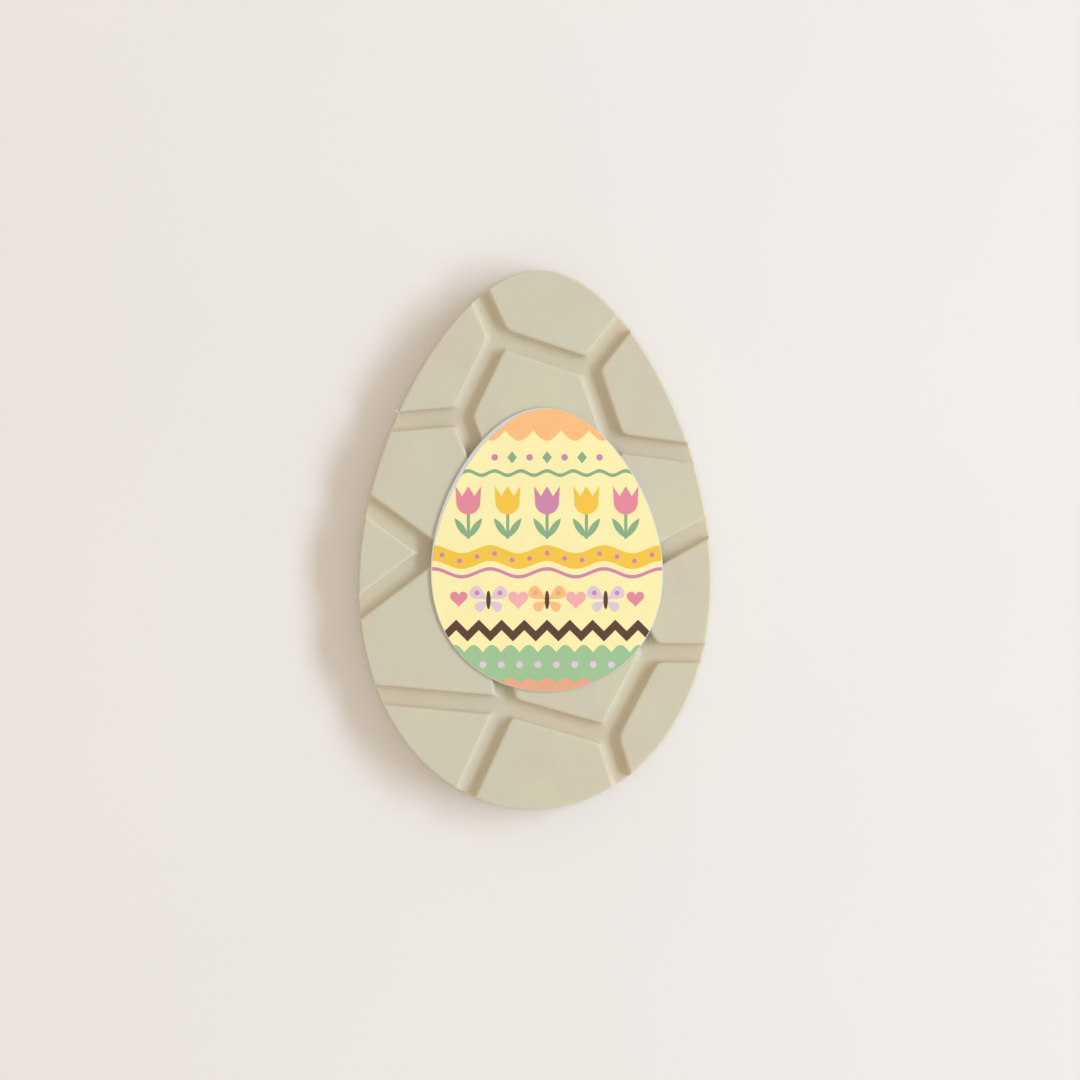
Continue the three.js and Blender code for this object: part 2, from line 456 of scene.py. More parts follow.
def crack_distance(points, softness):
    """The distance to the nearest crack's middle, and its slope. It is a soft minimum over the
    cracks, the logarithm of a sum of falling exponentials, which rounds the cells' corners."""
    offsets = segment_offsets(points, *crack_ends())
    apart = np.linalg.norm(offsets, axis=-1)
    nearest = apart.min(axis=1, keepdims=True)
    weight = np.exp((nearest - apart) / softness)
    total = weight.sum(axis=1, keepdims=True)
    distance = (nearest - softness * np.log(total))[:, 0]
    share = weight / (total * np.maximum(apart, 1e-9))
    return distance, (share[..., None] * offsets).sum(axis=1)


def settled(shape, points, ways, wanted):
    """Points moved along the given ways, by Newton's method, to lie at the wanted
    crack_distance. No step is longer than twice the distance that is still missing."""
    for _ in range(NEWTON_STEPS):
        distance, slope = crack_distance(points, shape.corner_softness)
        step = (wanted - distance) / np.maximum((slope * ways).sum(axis=-1), 0.5)
        points = points + ways * step[:, None]
    return points


def face_height(shape, points):
    """The height of the tablet's upper side over points of the plane. The rim's and the
    grooves' cuts are joined by a power sum, which is the larger one with a soft edge where
    they meet, and slow ripples lie over the face."""
    profile, section = rim_profile(shape), groove_section(shape)
    from_rim = rim_distance(TABLET_EGG, points)
    from_crack = crack_distance(points, shape.corner_softness)[0]
    rim_cut = FACE_HEIGHT - np.interp(from_rim, profile[:, 0], profile[:, 1])
    crack_cut = -np.interp(from_crack, section[:, 0], section[:, 1])
    cut = (rim_cut**JOINT_POWER + crack_cut**JOINT_POWER) ** (1 / JOINT_POWER)
    rng = np.random.default_rng(shape.seed)
    waves = ripples(points, shape.ripple, shape.ripple_length, rng)
    return FACE_HEIGHT - cut + np.clip(from_rim / CALM_RIM, 0, 1) * waves


def cell_sides(cell):
    """For each side of a cell: its corner names, and whether it is a stretch of the rim."""
    names = zip(cell, cell[1:] + cell[:1])
    return [(here, there, here in RIM_CRACKS and there in RIM_CRACKS) for here, there in names]


def cell_columns(shape, cell, corners, angles):
    """A cell's outline and its inner rings, as columns by rings by 2. Along a crack the rings
    are straight lines between mitred corners, and those near the wall are settled at their
    distances along ways that turn from one corner's mitre to the other's. Along the rim they
    are the outline moved in, slid along it at both ends to reach the mitred corners."""
    sides = cell_sides(cell)
    insets = {False: crack_rings(shape), True: rim_rings(shape)}
    outer = insets[False] > 0.5 * shape.wall_foot
    tangents = []
    for here, there, on_rim in sides:
        if on_rim:
            tangents.append([egg_frame(TABLET_EGG, angles[name])[1] for name in (here, there)])
        else:
            way = corners[there] - corners[here]
            tangents.append([way / np.linalg.norm(way)] * 2)
    mitres, leans = [], []
    for i, (here, _, on_rim) in enumerate(sides):
        before = i - 1
        normals = np.array([left_of(tangents[before][1]), left_of(tangents[i][0])])
        offsets = np.array([insets[sides[before][2]], insets[on_rim]])
        mitres.append(corners[here] + np.linalg.solve(normals, offsets).T)
        leans.append(np.linalg.solve(normals, [1, 1]))
    columns = []
    for i, (here, there, on_rim) in enumerate(sides):
        after = (i + 1) % len(sides)
        start, end = mitres[i], mitres[after]
        if not on_rim:
            share = spread(np.linalg.norm(corners[there] - corners[here]), *COLUMN_STEPS)
            straight = start + (end - start) * share[:, None, None]
            first = left_of(tangents[i][0]) if sides[i - 1][2] else leans[i]
            last = left_of(tangents[i][0]) if sides[after][2] else leans[after]
            ways = np.repeat(first + (last - first) * share[:, None], outer.sum(), axis=0)
            wanted = np.tile(insets[False][outer], len(share))
            moved = settled(shape, straight[:, outer].reshape(-1, 2), ways, wanted)
            straight[:, outer] = moved.reshape(len(share), -1, 2)
            columns.append(straight)
            continue
        t = rim_angles(angles[here], angles[there])
        share = ((t - angles[here]) % (2 * np.pi)) / ((angles[there] - angles[here]) % (2 * np.pi))
        points, along = egg_frame(TABLET_EGG, t)
        slide_start = (start - corners[here]) @ tangents[i][0]
        slide_end = (end - corners[there]) @ tangents[i][1]
        slide = slide_start + (slide_end - slide_start) * share[:, None]
        inward = left_of(along)[:, None, :] * insets[True][:, None]
        columns.append(points[:, None, :] + inward + along[:, None, :] * slide[..., None])
    return np.concatenate(columns)


def rim_angles(start, end):
    """Angles along the rim from start anticlockwise up to but without end, with even lengths
    of arc where spread has even steps."""
    dense = np.linspace(start, start + (end - start) % (2 * np.pi), 801)
    reached = arc_lengths(egg_frame(TABLET_EGG, dense)[0])
    return np.interp(spread(reached[-1], *COLUMN_STEPS) * reached[-1], reached, dense)


def tablet_back(shape, angles):
    """The back as columns by rings by 3: the rim's outline, the bevel's lower edge, and then
    rings that shrink to the middle, with shallow waves left by the scraper."""
    stops = sorted(angles.values())
    stretches = zip(stops, stops[1:] + stops[:1])
    t = np.concatenate([rim_angles(start, end) for start, end in stretches])
    points, along = egg_frame(TABLET_EGG, t)
    bevel = points + left_of(along) * shape.back_chamfer
    shares = np.linspace(1, 0, BACK_RINGS + 1)[1:]
    inner = bevel[:, None, :] * shares[:, None]
    plane = np.concatenate([points[:, None], bevel[:, None], inner], axis=1)
    rng = np.random.default_rng(shape.seed + 1)
    waves = ripples(plane * SCRAPE, shape.back_ripple / 2, shape.back_ripple_length, rng)
    height = np.clip(waves + shape.back_ripple, 0, None) * np.concatenate([[0, 0], 1 - shares**8])
    height[:, 0] = shape.back_chamfer
    return np.dstack([plane, height])


def burr_mesh(shape):
    """A pointed tooth of chocolate on the rim, where the upper lip of the left shoulder's crack
    reaches it: ellipses that shrink along a line out of the wall, which droops like a parabola,
    from a round root inside the tablet to the tip."""
    fork, place = RIM_CRACKS["rim_shoulder_left"]
    t = rim_crossing(TABLET_EGG, np.array(FORKS[fork]) * MM, np.array(place) * MM)
    near = egg_frame(TABLET_EGG, np.array([t, t - 1e-3]))[0]
    speed = np.linalg.norm(near[1] - near[0]) / 1e-3
    point, along = egg_frame(TABLET_EGG, t - 0.97 * shape.groove_half_width / speed)
    reach = 0.15 * along - left_of(along)
    share = np.array([0, 0, 0.2, 0.45, 0.62, 0.75, 0.86, 0.95, 1])
    width = np.array([0, 0.72, 0.72, 0.66, 0.57, 0.46, 0.32, 0.18, 0]) * shape.burr
    middle_height = FACE_HEIGHT - BURR_DROP - 0.4 * shape.burr * share**2
    around = turns(12)[:, None]
    middle = point + reach * (share[:, None] * (shape.burr + BURR_ROOT) - BURR_ROOT)
    plane = middle + along * (width * np.cos(around))[..., None]
    height = middle_height + 0.5 * width * np.sin(around)
    vertices = np.dstack([plane, height])
    return vertices.reshape(-1, 3), grid_faces(*vertices.shape[:2])


def tablet_mesh(shape):
    """The whole tablet: each cell's grid runs from its outline to its middle, the back's grid
    closes it along the rim, and a burr sticks out of the rim."""
    corners = {name: np.array(place) * MM for name, place in FORKS.items()}
    angles = {}
    for name, (fork, place) in RIM_CRACKS.items():
        angles[name] = rim_crossing(TABLET_EGG, corners[fork], np.array(place) * MM)
        corners[name] = egg_frame(TABLET_EGG, angles[name])[0]
    vertices, faces, count = [], [], 0
    for cell in CELLS:
        rings = cell_columns(shape, cell, corners, angles)
        middle = rings[:, -1].mean(axis=0)
        inner = rings[:, -1:] + (middle - rings[:, -1:]) * INNER_SHARES[:, None]
        plane = np.concatenate([rings, inner], axis=1)
        height = face_height(shape, plane.reshape(-1, 2))
        vertices.append(np.column_stack([plane.reshape(-1, 2), height]))
        faces.append(grid_faces(*plane.shape[:2]) + count)
        count += len(height)
    back = tablet_back(shape, angles)
    burr, burr_faces = burr_mesh(shape)
    vertices += [back.reshape(-1, 3), burr]
    faces.append(grid_faces(*back.shape[:2])[:, ::-1] + count)
    faces.append(burr_faces + count + back.shape[0] * back.shape[1])
    return np.concatenate(vertices), np.concatenate(faces)


# ---- Plaque and print ----


ROUND = turns(360)  # the angles of a whole egg outline
PLAQUE_BEVEL = 0.06 * MM


def plaque_mesh(shape):
    """The plaque: a section of underside, wall, rounded edge and top carried round its egg,
    then shrunk to the middle above and below."""
    angle = np.linspace(0, np.pi / 2, 6)[1:]
    inset = np.concatenate([[PLAQUE_BEVEL, 0, 0], shape.edge_round * (1 - np.cos(angle))])
    bottom, wall_top = FACE_HEIGHT, PLAQUE_TOP - shape.edge_round
    rounded = wall_top + shape.edge_round * np.sin(angle)
    height = np.concatenate([[bottom, bottom + PLAQUE_BEVEL, wall_top], rounded])
    points, along = egg_frame(PLAQUE_EGG, ROUND)
    wall = points[:, None, :] + left_of(along)[:, None, :] * inset[:, None]
    shares = np.array([0.97, 0.9, 0.75, 0.5, 0.25, 0])
    under = wall[:, :1] * shares[::-1][:, None]
    over = wall[:, -1:] * shares[:, None]
    plane = placed(np.concatenate([under, wall, over], axis=1), PLAQUE_CENTRE, PLAQUE_TURN)
    flat = np.ones(len(shares))
    heights = np.concatenate([flat * bottom, height, flat * PLAQUE_TOP])
    vertices = np.dstack([plane, np.broadcast_to(heights, plane.shape[:2])])
    return vertices.reshape(-1, 3), grid_faces(*vertices.shape[:2])


def print_edge(u):
    """The lowest and highest v of the print's egg outline at each u across it."""
    t = np.linspace(-np.pi / 2, np.pi / 2, 2001)
    points = egg_frame(PRINT_EGG, t)[0]
    widest = points[:, 0].argmax()
    low = np.interp(np.abs(u), points[: widest + 1, 0], points[: widest + 1, 1])
    high = np.interp(np.abs(u), points[widest:, 0][::-1], points[widest:, 1][::-1])
    return low, high


def wave(middle, height, wavelength):
    """A sine line across the print, in millimetres."""
    return lambda u: (middle + height * np.cos(2 * np.pi * u / (wavelength * MM))) * MM


def zigzag(middle, height, wavelength):
    """A line of straight strokes across the print, in millimetres: a triangle wave."""
    return lambda u: (middle + height * (4 * np.abs(u / (wavelength * MM) % 1 - 0.5) - 1)) * MM


def scallops(base, height, width):
    """A row of round bumps across the print, in millimetres: the sine's absolute value."""
    return lambda u: (base + height * np.abs(np.cos(np.pi * u / (width * MM)))) * MM


def straight_line(v):
    """A straight line across the print, in millimetres."""
    return lambda u: np.full_like(u, v * MM)


def band(lower, upper):
    """The outline of a band between two lines across the print, cut off at the egg's edge and
    where it is thinner than a hair."""
    hair = 0.01 * MM
    reach = egg_frame(PRINT_EGG, np.linspace(-1, 1, 4001))[0][:, 0].max()
    u = np.linspace(-reach, reach, 901)[1:-1]
    low, high = print_edge(u)
    bottom, top = np.maximum(lower(u), low), np.minimum(upper(u), high)
    inside = top - bottom > hair
    u, bottom, top = u[inside], bottom[inside], top[inside]
    return np.concatenate([np.column_stack([u, bottom]), np.column_stack([u, top])[::-1]])


def dot(radius, squash=1.0):
    """A circle or, with squash, an ellipse."""
    t = turns(28)
    return np.column_stack([np.cos(t), squash * np.sin(t)]) * radius * MM


def heart(size):
    """The usual heart curve: 16 sin^3 t across, and four cosines up, fitted to its width."""
    t = turns(72)
    up = 13 * np.cos(t) - 5 * np.cos(2 * t) - 2 * np.cos(3 * t) - np.cos(4 * t)
    return np.column_stack([16 * np.sin(t) ** 3, up])[::-1] * size * MM / 32


def drop(size, width):
    """A drop with its point at the origin and its round end up: along is (1 - cos t) / 2, and
    across is sin t times along."""
    t = turns(36)
    along = (1 - np.cos(t)) / 2
    return np.column_stack([width * np.sin(t) * along, size * along])[::-1] * MM


def leaf(size, width):
    """A leaf with two points: a parabola on each side of its length, from the origin up."""
    s = np.linspace(0, 1, 15)
    side = width * 2 * s * (1 - s)
    right = np.column_stack([side, size * s])
    left = np.column_stack([-side, size * s])[::-1][1:-1]
    return np.concatenate([right, left]) * MM


def diamond(width, height):
    """A lozenge with slightly hollow sides."""
    t = turns(32)
    cos, sin = np.cos(t), np.sin(t)
    return np.column_stack([width * cos * np.abs(cos), height * sin * np.abs(sin)]) * MM / 2


def tulip_head(width, height):
    """A flower cup: a half ellipse below, and above it three pointed petals, a triangle wave."""
    u = np.linspace(-1, 1, 49)
    cup = -np.sqrt(1 - u**2)
    notch, tip, flare = 0.35, 1.1, 0.06
    crown = notch + (tip - notch) * np.abs((u + 1) % 1 - 0.5) * 2
    lower = np.column_stack([u[1:-1], cup[1:-1]])
    upper = np.column_stack([u * (1 + flare * (crown - notch)), crown])[::-1]
    return np.concatenate([lower, upper]) * np.array([width / 2, height / (1 + tip)]) * MM


def stem(size, thickness):
    """A straight bar from the origin up, with a round top."""
    t = np.linspace(0, np.pi, 9)
    top = np.column_stack([np.cos(t), np.sin(t)]) * thickness / 2 + np.array([0, size])
    return np.concatenate([[[-thickness / 2, 0], [thickness / 2, 0]], top]) * MM


def at(outline, u, v, degrees=0.0):
    """An outline turned, then moved to a place on the print given in millimetres."""
    return placed(outline, (u * MM, v * MM), math.radians(degrees))


def print_mesh(layers, ink):
    """Thin closed plates of ink from lists of outlines. Each layer is (outlines, level, colour
    number). A plate is its outline carried up from inside the icing, with flat ends. It stands
    level times the ink's thickness high, and starts as deep."""
    vertices, faces, indices, count = [], [], [], 0
    for outlines, level, number in layers:
        for outline in outlines:
            plane = placed(outline, PRINT_CENTRE, UPRIGHT)
            size = len(plane)
            x, y = plane[:, 0], plane[:, 1]
            if (x * np.roll(y, -1) - np.roll(x, -1) * y).sum() < 0:
                plane = plane[::-1]
            low = np.column_stack([plane, np.full(size, PLAQUE_TOP - ink * level)])
            high = np.column_stack([plane, np.full(size, PLAQUE_TOP + ink * level)])
            ring = np.arange(size)
            after = np.roll(ring, -1)
            walls = np.stack([ring, after, after + size, ring + size], axis=-1) + count
            vertices += [low, high]
            faces += walls.tolist()
            faces += [(ring[::-1] + count).tolist(), (ring + size + count).tolist()]
            indices += [number] * (size + 2)
            count += 2 * size
    return np.concatenate(vertices), faces, indices


# ---- Materials ----


class Recipe:
    """A material whose nodes are added one by one. Every pattern reads object coordinates."""

    def __init__(self, name):
        self.material = bpy.data.materials.new(name)
        self.material.use_nodes = True
        self.tree = self.material.node_tree
        self.shader = self.tree.nodes["Principled BSDF"]
        self.place = self.tree.nodes.new("ShaderNodeTexCoord").outputs["Object"]

    def feed(self, socket, value):
        """Links an input to another node's output, or sets it to a value."""
        if isinstance(value, bpy.types.NodeSocket):
            self.tree.links.new(value, socket)
        else:
            socket.default_value = value

    def node(self, kind, inputs, **settings):
        """Adds a node, sets its settings, and feeds its inputs."""
        made = self.tree.nodes.new(kind)
        for key, value in settings.items():
            setattr(made, key, value)
        for key, value in inputs.items():
            self.feed(made.inputs[key], value)
        return made

    def noise(self, size, detail=2.0, roughness=0.5, stretch=(1, 1, 1)):
        """Noise whose features are about size metres across."""
        place = self.place
        if stretch != (1, 1, 1):
            place = self.node("ShaderNodeMapping", {"Vector": place, "Scale": stretch}).outputs[0]
        inputs = {"Vector": place, "Scale": 1 / size, "Detail": detail, "Roughness": roughness}
        return self.node("ShaderNodeTexNoise", inputs).outputs["Fac"]

    def ramp(self, value, low, high, start=0.0, end=1.0):
        """Maps value from low..high to start..end, and holds it there."""
        inputs = {"Value": value, "From Min": low, "From Max": high, "To Min": start, "To Max": end}
        return self.node("ShaderNodeMapRange", inputs).outputs["Result"]

    def mix(self, share, first, second):
        """Mixes two colours, each a socket or three numbers."""
        inputs = {0: share}
        for key, value in ((6, first), (7, second)):
            inputs[key] = value if isinstance(value, bpy.types.NodeSocket) else (*value, 1)
        return self.node("ShaderNodeMix", inputs, data_type="RGBA").outputs[2]

    def clouded(self, tint, size, share):
        """A tint with soft clouds, about size metres across, in which it is share as bright."""
        clouds = self.ramp(self.noise(size, 3), 0.35, 0.65)
        return self.mix(clouds, tuple(tint), tuple(share * value for value in tint))

    def math(self, operation, first, second=0.0):
        """One sum on numbers."""
        inputs = {0: first, 1: second}
        return self.node("ShaderNodeMath", inputs, operation=operation).outputs[0]

    def bump(self, height, depth, normal=None):
        """Relief from a height of 0 to 1 that stands for depth metres."""
        inputs = {"Height": height, "Distance": depth, "Strength": 1.0}
        if normal is not None:
            inputs["Normal"] = normal
        return self.node("ShaderNodeBump", inputs).outputs["Normal"]

    def wire(self, **inputs):
        """Feeds the shader's inputs, named with underscores for spaces."""
        for key, value in inputs.items():
            self.feed(self.shader.inputs[key.replace("_", " ")], value)
        return self.material


def chocolate_material(shape):
    """White chocolate: ivory with slow rosy and straw-coloured patches, painted warm shade low in
    the grooves, a satin skin with fine mould grain, sparse pinholes with painted shade in them, and
    a duller, scraped back."""
    recipe = Recipe("white_chocolate")
    height = recipe.node("ShaderNodeSeparateXYZ", {"Vector": recipe.place}).outputs["Z"]
    rosy = recipe.ramp(recipe.noise(21 * MM, 3), 0.46, 0.6)
    straw = recipe.ramp(recipe.noise(17 * MM, 3, stretch=(1, 0.7, 1)), 0.5, 0.66)
    tone = recipe.mix(rosy, tuple(shape.ivory), tuple(shape.ivory_warm))
    tone = recipe.mix(straw, tone, tuple(shape.ivory_green))
    # Painted shade: 9% of the groove shade colour is mixed in wherever the surface lies more than
    # 0.2 mm below the face (the grooves, and also the wall and the back). It warms and darkens them
    # as their shade would.
    low = recipe.ramp(height, FACE_HEIGHT - 0.2 * MM, FACE_HEIGHT - 0.02 * MM, 0.09, 0)
    tone = recipe.mix(low, tone, tuple(shape.painted_groove_shade))
    mottle = recipe.ramp(recipe.noise(1.3 * MM, 4, 0.6), 0.3, 0.7, 0.0, 0.05)
    tone = recipe.mix(mottle, tone, (0.42, 0.36, 0.24))
    # Pinholes: a real dent in the relief below, and painted shade that darkens their middles by a
    # quarter
    spots = recipe.node("ShaderNodeTexVoronoi", {"Vector": recipe.place, "Scale": 1 / (5.5 * MM)})
    pinhole_and_shade = recipe.ramp(spots.outputs["Distance"], 0.018, 0.034, 1, 0)
    tone = recipe.mix(recipe.math("MULTIPLY", pinhole_and_shade, 0.25), tone, (0.3, 0.25, 0.17))
    back = recipe.ramp(height, 0.2 * MM, 0.5 * MM, 1, 0)
    grain = recipe.noise(0.35 * MM, 3, 0.6)
    scrape = recipe.noise(1.1 * MM, 3, 0.6, stretch=(0.08, 1, 1))
    gloss = recipe.ramp(recipe.noise(7 * MM, 4, 0.6), 0.3, 0.7, 0.56, 0.7)
    gloss = recipe.math("ADD", gloss, recipe.math("MULTIPLY", back, 0.2))
    relief = recipe.bump(grain, 0.012 * MM)
    relief = recipe.bump(recipe.noise(2.4 * MM, 2), 0.02 * MM, relief)
    relief = recipe.bump(recipe.math("MULTIPLY", scrape, back), 0.12 * MM, relief)
    relief = recipe.bump(recipe.math("SUBTRACT", 1.0, pinhole_and_shade), 0.08 * MM, relief)
    return recipe.wire(
        Base_Color=tone,
        Roughness=gloss,
        Normal=relief,
        Specular_IOR_Level=0.12,
        Subsurface_Weight=0.4,
        Subsurface_Radius=(1.0, 0.75, 0.5),
        Subsurface_Scale=1.3 * MM,
    )


def icing_material(shape):
    """Rolled white icing: a matt, faintly cool white with a fine sugar grain."""
    recipe = Recipe("icing")
    tone = recipe.clouded(shape.icing, 6 * MM, 0.95)
    grain = recipe.noise(0.22 * MM, 3, 0.6)
    tone = recipe.mix(recipe.ramp(grain, 0.35, 0.7, 0, 0.08), tone, (0.5, 0.5, 0.52))
    relief = recipe.bump(grain, 0.02 * MM)
    return recipe.wire(
        Base_Color=tone,
        Roughness=recipe.ramp(recipe.noise(2 * MM), 0.3, 0.7, 0.55, 0.7),
        Normal=relief,
        Subsurface_Weight=0.15,
        Subsurface_Scale=0.6 * MM,
    )


def ink_material(name, tint):
    """Food colour printed on icing: the tint with soft clouds and fine mottling, tiny specks
    where the icing shows through, and the icing's grain."""
    recipe = Recipe(name)
    tone = recipe.clouded(tint, 9 * MM, 0.965)
    mottle = recipe.ramp(recipe.noise(0.5 * MM, 4, 0.65), 0.35, 0.7, 0, 0.35)
    tone = recipe.mix(mottle, tone, tuple(min(1, 1.05 * value + 0.01) for value in tint))
    specks = recipe.ramp(recipe.noise(0.16 * MM, 2, 0.5), 0.7, 0.78, 0, 0.4)
    tone = recipe.mix(specks, tone, (0.86, 0.86, 0.84))
    relief = recipe.bump(recipe.noise(0.22 * MM, 3, 0.6), 0.012 * MM)
    relief = recipe.bump(recipe.noise(1.6 * MM, 2), 0.02 * MM, relief)
    gloss = recipe.ramp(recipe.noise(1.5 * MM, 3), 0.3, 0.7, 0.5, 0.62)
    return recipe.wire(Base_Color=tone, Roughness=gloss, Normal=relief)


def floor_material(tint):
    """A plain matt floor with hardly visible clouds."""
    recipe = Recipe("floor")
    return recipe.wire(Base_Color=recipe.clouded(tint, 120 * MM, 0.985), Roughness=0.8)


# ---- Operators ----

# The print's layout, in millimetres from its middle.
BEYOND = 40  # past the print's edge
RIBBON_WAVE = (0.9, 13)  # height and length
BASE_STEP = 4.2  # width of a scallop of the base


def add_print(name, layers):
    """A piece of print. Each layer is (outlines, level, ink name)."""
    inks = bpy.context.scene.chocolate_egg.inks
    colours = sorted({key for _, _, key in layers})
    materials = [ink_material(f"{name}_{key}", getattr(inks, key)) for key in colours]
    numbered = [(outlines, level, colours.index(key)) for outlines, level, key in layers]
    vertices, faces, indices = print_mesh(numbered, inks.ink)
    add_piece(name, vertices, faces, materials, PLAQUE_NODE, False, indices)


class CHOCEGG_OT_tablet(bpy.types.Operator):
    """Makes the moulded tablet with its cracked-shell face"""

    bl_idname = "chocolate_egg.tablet"
    bl_label = "Tablet"

    def execute(self, context):
        shape = context.scene.chocolate_egg.tablet
        vertices, faces = tablet_mesh(shape)
        material = chocolate_material(shape)
        add_piece("tablet", vertices, faces, [material], TABLET_NODE)
        return {"FINISHED"}


class CHOCEGG_OT_plaque(bpy.types.Operator):
    """Makes the thin plaque of white icing that lies on the face"""

    bl_idname = "chocolate_egg.plaque"
    bl_label = "Plaque"

    def execute(self, context):
        shape = context.scene.chocolate_egg.plaque
        vertices, faces = plaque_mesh(shape)
        add_piece("plaque", vertices, faces, [icing_material(shape)], PLAQUE_NODE)
        return {"FINISHED"}


class CHOCEGG_OT_print_ground(bpy.types.Operator):
    """Prints the pale yellow ground"""

    bl_idname = "chocolate_egg.print_ground"
    bl_label = "Printed ground"

    def execute(self, context):
        add_print("print_ground", [([egg_frame(PRINT_EGG, ROUND)[0]], 1, "yellow")])
        return {"FINISHED"}


class CHOCEGG_OT_print_bands(bpy.types.Operator):
    """Prints the crown, the ribbon, the lines, the zigzag and the base"""

    bl_idname = "chocolate_egg.print_bands"
    bl_label = "Printed bands"

    def execute(self, context):
        layers = [
            ([band(scallops(27.4, -2.4, 6.4), straight_line(BEYOND))], 2, "orange"),
            ([band(wave(17.2, 0.5, 6), wave(18.0, 0.5, 6))], 2, "green"),
            ([band(wave(-3.4, *RIBBON_WAVE), wave(0.2, *RIBBON_WAVE))], 2, "mustard"),
            ([band(wave(-5.6, *RIBBON_WAVE), wave(-4.8, *RIBBON_WAVE))], 2, "mauve"),
            ([band(zigzag(-19.6, 1.3, 5.2), zigzag(-17.2, 1.3, 5.2))], 2, "brown"),
            ([band(straight_line(-BEYOND), scallops(-23.4, 1.7, BASE_STEP))], 2, "light_green"),
            ([band(straight_line(-BEYOND), scallops(-30.4, 1.2, BASE_STEP))], 3, "peach"),
        ]
        add_print("print_bands", layers)
        return {"FINISHED"}


class CHOCEGG_OT_print_tulips(bpy.types.Operator):
    """Prints the row of tulips with their stems and leaves"""

    bl_idname = "chocolate_egg.print_tulips"
    bl_label = "Printed tulips"

    def execute(self, context):
        places = ((-18, "rose"), (-9, "mustard"), (0, "mauve"), (9, "mustard"), (18, "rose"))
        layers = []
        for u, key in places:
            layers.append(([at(stem(6.5, 0.7), u, 2.6)], 2, "green"))
            leaves = [at(leaf(5.4, 1.5), u + 0.1 * side, 2.8, -34 * side) for side in (-1, 1)]
            layers.append((leaves, 3, "green"))
            layers.append(([at(tulip_head(5.6, 6.4), u, 11.2)], 4, key))
        add_print("print_tulips", layers)
        return {"FINISHED"}


class CHOCEGG_OT_print_hearts(bpy.types.Operator):
    """Prints the hearts"""

    bl_idname = "chocolate_egg.print_hearts"
    bl_label = "Printed hearts"

    def execute(self, context):
        pink = [at(heart(4.6), u, -11.2) for u in (-6.6, 6.6)]
        rose = [at(heart(4.0), u, -11.0) for u in (-20.2, 20.2)]
        add_print("print_hearts", [(pink, 2, "pink"), (rose, 2, "rose")])
        return {"FINISHED"}


class CHOCEGG_OT_print_butterflies(bpy.types.Operator):
    """Prints the butterflies"""

    bl_idname = "chocolate_egg.print_butterflies"
    bl_label = "Printed butterflies"

    def execute(self, context):
        places = ((-13.4, "lilac", "mauve"), (0, "orange", "peach"), (13.4, "lilac", "mauve"))
        layers = []
        for u, wing, spot in places:
            for side in (-1, 1):
                upper = at(drop(4.6, 2.3), u + 0.1 * side, -11.4, -58 * side)
                lower = at(drop(3.4, 1.7), u + 0.1 * side, -11.6, -125 * side)
                layers.append(([upper, lower], 2, wing))
                layers.append(([at(dot(0.55), u + 2.6 * side, -9.8)], 3, spot))
            layers.append(([at(dot(0.5, squash=4.2), u, -11.4)], 4, "brown"))
        add_print("print_butterflies", layers)
        return {"FINISHED"}


class CHOCEGG_OT_print_dots(bpy.types.Operator):
    """Prints the rows of dots and diamonds"""

    bl_idname = "chocolate_egg.print_dots"
    bl_label = "Printed dots"

    def execute(self, context):
        crown = [at(dot(0.75), u, 21.2) for u in (-12, -4, 4, 12)]
        between = [at(diamond(2.2, 2.8), u, 21.2) for u in (-8, 0, 8)]
        along = np.arange(-24, 25, 4)
        ribbon_middle = wave(-1.6, *RIBBON_WAVE)(along * MM) / MM
        ribbon = [at(dot(0.55), u, v) for u, v in zip(along, ribbon_middle)]
        base = [at(dot(0.8), u, -26.2) for u in (np.arange(8) - 3.5) * BASE_STEP]
        layers = [(crown, 2, "mauve"), (between, 2, "green")]
        layers += [(ribbon, 3, "mauve"), (base, 3, "lilac")]
        add_print("print_dots", layers)
        return {"FINISHED"}


class CHOCEGG_OT_stage(bpy.types.Operator):
    """Makes the floor, the lights and the camera"""

    bl_idname = "chocolate_egg.stage"
    bl_label = "Stage"

    def execute(self, context):
        stage = context.scene.chocolate_egg.stage
        add_floor(stage)
        add_lights(stage)
        add_camera(stage)
        return {"FINISHED"}


def add_floor(stage):
    """A large round floor: rings of growing radius, flat under the egg."""
    t = turns(96)
    radius = np.array([3.0, 1.5, 0.6, 0.2, 0.0])
    x = np.cos(t)[:, None] * radius
    y = np.sin(t)[:, None] * radius
    vertices = np.stack([x, y, np.zeros_like(x)], axis=-1)
    mesh = bpy.data.meshes.new("floor")
    mesh.from_pydata(vertices.reshape(-1, 3), [], grid_faces(*vertices.shape[:2]))
    mesh.materials.append(floor_material(stage.floor))
    add_object("floor", mesh)


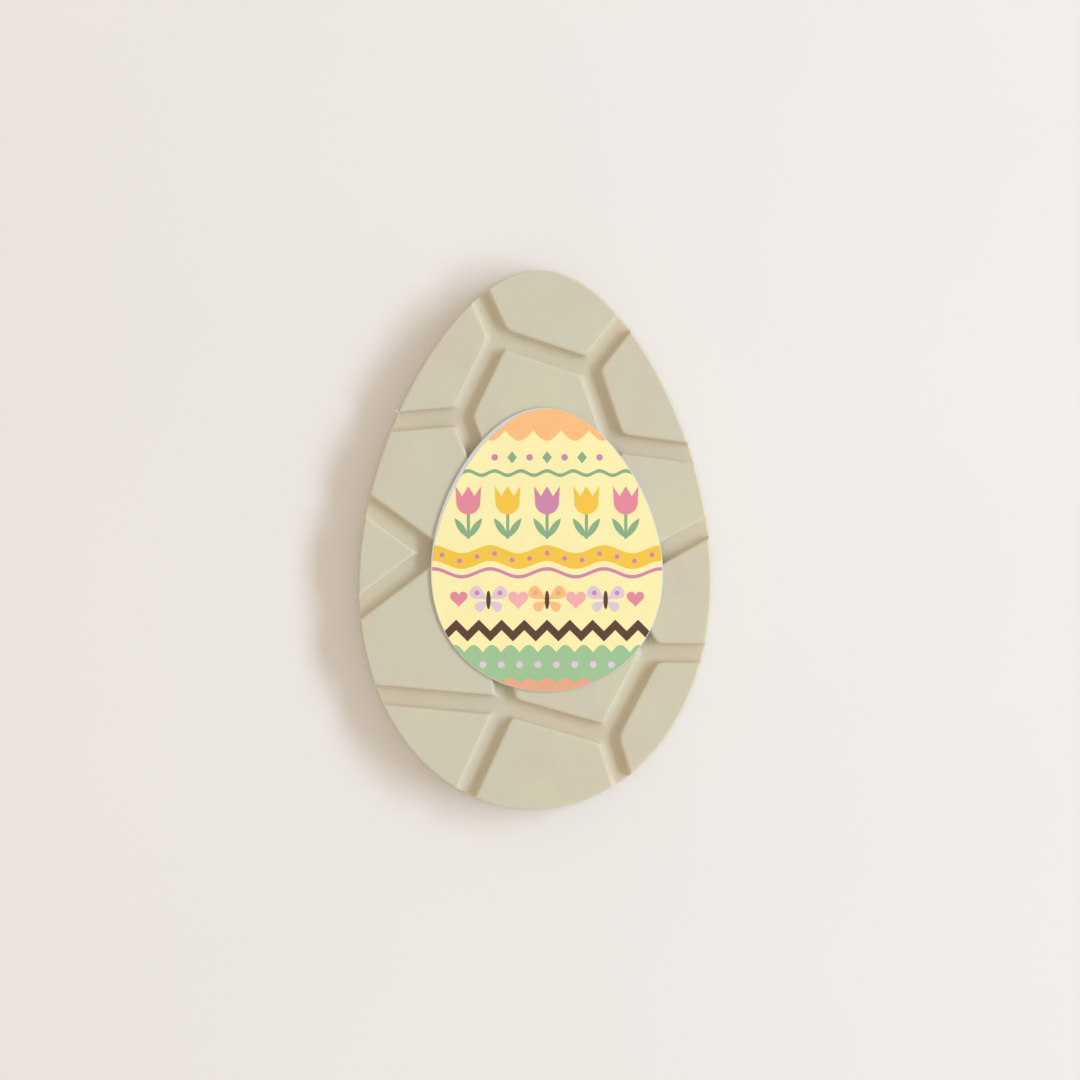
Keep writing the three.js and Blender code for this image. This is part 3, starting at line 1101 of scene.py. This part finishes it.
def add_lights(stage):
    """One long, cool, soft light low on the right, and even, warmer light from all round."""
    key = bpy.data.lights.new("key", "AREA")
    key.shape = "RECTANGLE"
    key.energy = stage.key_power
    key.size, key.size_y = KEY_SIZE
    key.color = KEY_TINT
    azimuth, elevation = KEY_DIRECTION
    level = math.cos(elevation)
    away = (math.cos(azimuth) * level, math.sin(azimuth) * level, math.sin(elevation))
    holder = add_object("key", key)
    holder.location = np.array(away) * KEY_DISTANCE
    holder.rotation_euler = (math.pi / 2 - elevation, 0, azimuth + math.pi / 2)
    world = bpy.data.worlds.new("even light")
    world.use_nodes = True
    background = world.node_tree.nodes["Background"]
    background.inputs["Color"].default_value = (*FILL_TINT, 1)
    background.inputs["Strength"].default_value = stage.fill
    bpy.context.scene.world = world
    bpy.context.scene.view_settings.view_transform = "Standard"


def add_camera(stage):
    """A camera straight above the egg, turned so that the print stands upright."""
    camera = bpy.data.cameras.new("camera")
    camera.sensor_width = 36
    camera.lens = camera.sensor_width * stage.camera_height / stage.frame_width
    camera.clip_start = 0.01
    holder = add_object("camera", camera)
    holder.location = (*CAMERA_AIM, FACE_HEIGHT + stage.camera_height)
    holder.rotation_euler = (0, 0, UPRIGHT)
    bpy.context.scene.camera = holder


class CHOCEGG_PT_panel(bpy.types.Panel):
    """Lists the steps that make the egg"""

    bl_label = "Chocolate Egg"
    bl_idname = "CHOCEGG_PT_panel"
    bl_space_type = "VIEW_3D"
    bl_region_type = "UI"
    bl_category = "Chocolate Egg"

    def draw(self, context):
        for operator in STEPS:
            self.layout.operator(operator.bl_idname)


STEPS = (
    CHOCEGG_OT_stage,
    CHOCEGG_OT_tablet,
    CHOCEGG_OT_plaque,
    CHOCEGG_OT_print_ground,
    CHOCEGG_OT_print_bands,
    CHOCEGG_OT_print_tulips,
    CHOCEGG_OT_print_hearts,
    CHOCEGG_OT_print_butterflies,
    CHOCEGG_OT_print_dots,
)
CLASSES = (
    CHOCEGG_PG_tablet,
    CHOCEGG_PG_plaque,
    CHOCEGG_PG_print,
    CHOCEGG_PG_stage,
    CHOCEGG_PG_settings,
    *STEPS,
    CHOCEGG_PT_panel,
)


def register():
    """Registers the classes and puts the settings on the scene."""
    for item in CLASSES:
        bpy.utils.register_class(item)
    bpy.types.Scene.chocolate_egg = PointerProperty(type=CHOCEGG_PG_settings)


def unregister():
    """Takes the settings and the classes away again."""
    del bpy.types.Scene.chocolate_egg
    for item in reversed(CLASSES):
        bpy.utils.unregister_class(item)


def main():
    """Makes the stage and every piece."""
    register()
    for step in STEPS:
        group, name = step.bl_idname.split(".")
        getattr(getattr(bpy.ops, group), name)()


if __name__ == "__main__":
    main()
